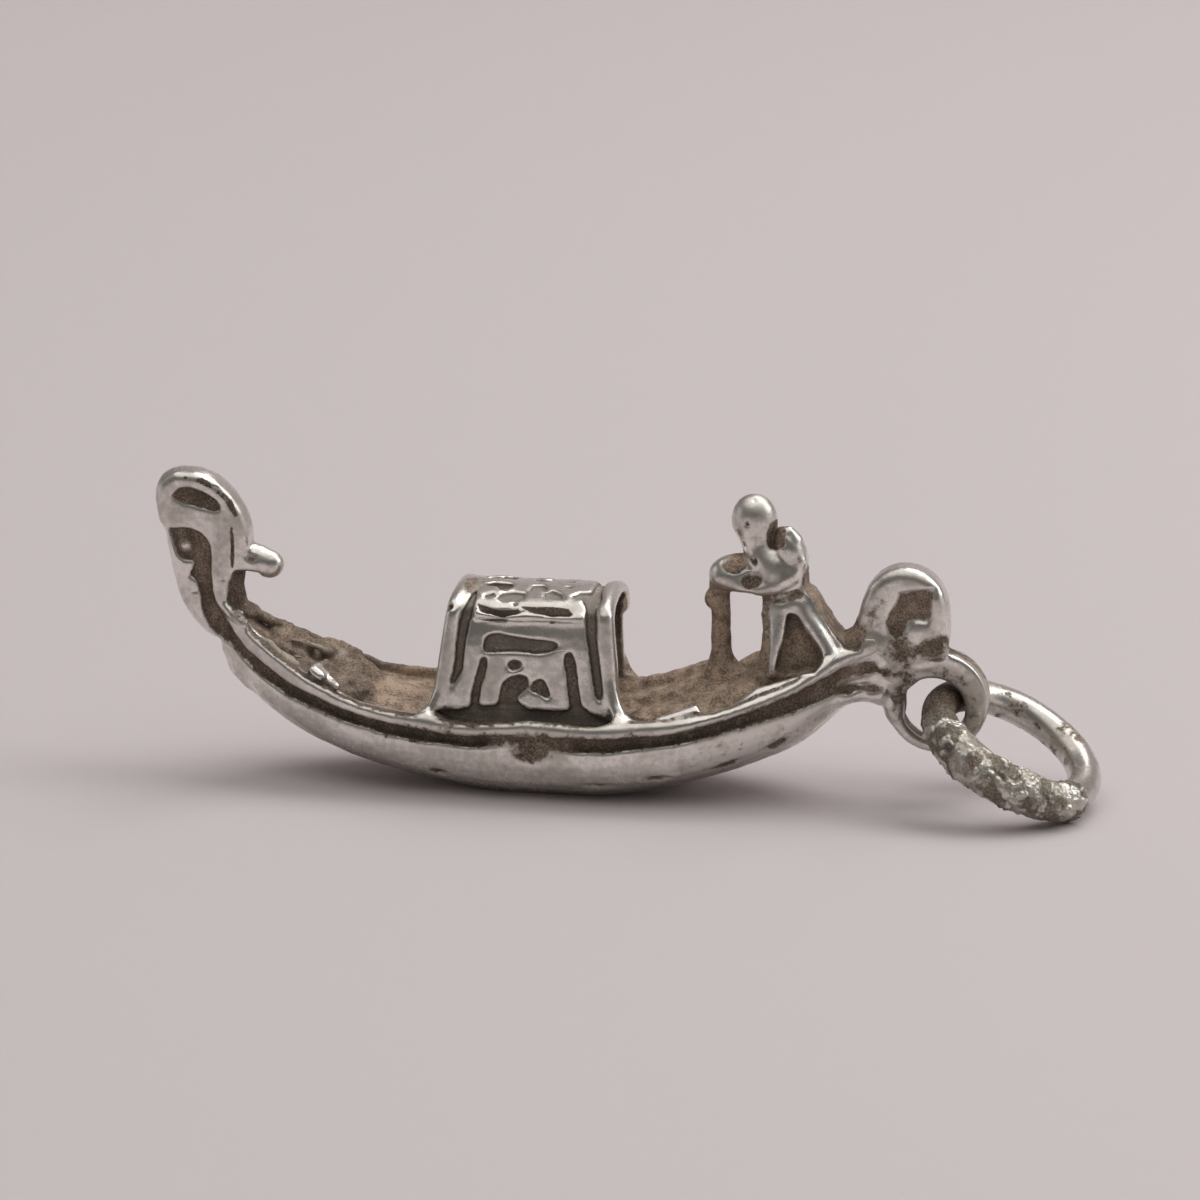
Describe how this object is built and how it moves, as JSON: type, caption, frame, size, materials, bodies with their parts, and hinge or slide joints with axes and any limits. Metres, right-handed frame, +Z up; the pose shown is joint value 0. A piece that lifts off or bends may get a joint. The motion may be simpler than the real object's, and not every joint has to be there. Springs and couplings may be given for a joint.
{
  "type": "gondola charm with jump ring",
  "caption": "Cast silver charm in the form of a gondola with cabin, gondolier and prow iron, and a jump ring swinging in its stern bail.",
  "frame": {"origin": "middle of the small flat worn under the keel, on which the charm stands", "axes": "+X towards the stern, +Y to port, +Z up"},
  "size_m": [0.029, 0.0062, 0.0095],
  "materials": {
    "cast_silver": "polished high spots, brown tarnish in the recesses",
    "tarnished_silver": "matt brown tarnish",
    "ring_wire": "smooth drawn wire, lightly tarnished",
    "solder": "rough grainy solder"
  },
  "bodies": {
    "charm": {"hull": "cast_silver", "prow_iron": "cast_silver", "prow_comb": "tarnished_silver", "prow_back_tooth": "cast_silver", "fore_deck_carving": "tarnished_silver", "cabin": "cast_silver", "cabin_window_port": "cast_silver", "cabin_window_starboard": "cast_silver", "gondolier_coat": "cast_silver", "gondolier_head": "cast_silver", "gondolier_fore_arm": "cast_silver", "gondolier_aft_arm": "cast_silver", "oar": "tarnished_silver", "stern_boss": "cast_silver", "bail": "cast_silver"},
    "jump_ring": {"jump_ring_wire": "ring_wire", "jump_ring_solder": "solder"}
  },
  "joints": [
    {"name": "ring_swing", "type": "hinge", "parent": "charm", "child": "jump_ring", "pos_m": [0.01176, 0, 0.00298], "axis": [0, 1, 0], "range_deg": [-110, 115]}
  ]
}
